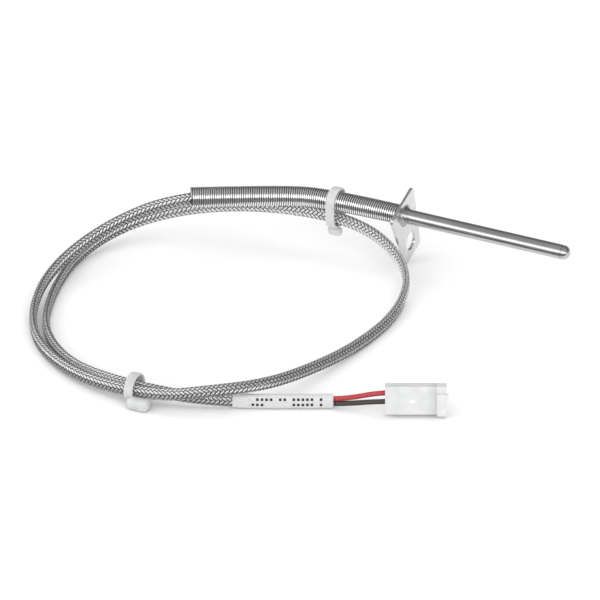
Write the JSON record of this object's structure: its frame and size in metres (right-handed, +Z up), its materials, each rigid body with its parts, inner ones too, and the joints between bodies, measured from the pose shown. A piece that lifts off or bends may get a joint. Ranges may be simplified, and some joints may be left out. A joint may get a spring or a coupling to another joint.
{
  "type": "thermocouple",
  "caption": "Fixed-flange thermocouple: steel sheath, one-hole flange, strain-relief spring, coiled armoured lead and two-way connector.",
  "frame": {"origin": "centre of the flange's front face, on the sheath's axis", "axes": "+X along the sheath towards its tip, +Z up from the surface that the lead lies on"},
  "size_m": [0.1293, 0.1153, 0.0214],
  "materials": {
    "sheath_steel": "polished stainless steel tube",
    "flange_steel": "bright rolled stainless sheet",
    "spring_steel": "bright close-wound spring wire",
    "braid_steel": "woven stainless wire braid",
    "ceramic": "fired two-bore insulator",
    "thermo_alloy": "nickel alloy element wire",
    "potting": "cured potting compound",
    "brass": "crimped brass",
    "red_wire": "lacquered woven glass sleeving, red",
    "black_wire": "lacquered woven glass sleeving, black",
    "white_sleeve": "white heat-shrink sleeve",
    "natural_nylon": "translucent natural nylon housing",
    "tie_nylon": "translucent natural nylon tie"
  },
  "bodies": {
    "root": {"sheath_tube": "sheath_steel", "sheath_tip": "sheath_steel", "mounting_flange": "flange_steel", "flange_collar": "flange_steel", "strain_relief_spring": "spring_steel", "crimp_ferrule": "brass", "armoured_lead": "braid_steel", "wire_red": "red_wire", "wire_black": "black_wire", "label_sleeve": "white_sleeve", "connector_housing": "natural_nylon", "terminal_red": "brass", "terminal_black": "brass", "cable_tie_upper": "tie_nylon", "cable_tie_lower": "tie_nylon", "measuring_junction": "thermo_alloy", "element_wire_positive": "thermo_alloy", "element_wire_negative": "thermo_alloy", "rear_seal": "potting", "ceramic_insulator_1": "ceramic", "ceramic_insulator_2": "ceramic", "ceramic_insulator_3": "ceramic", "ceramic_insulator_4": "ceramic"}
  },
  "joints": []
}
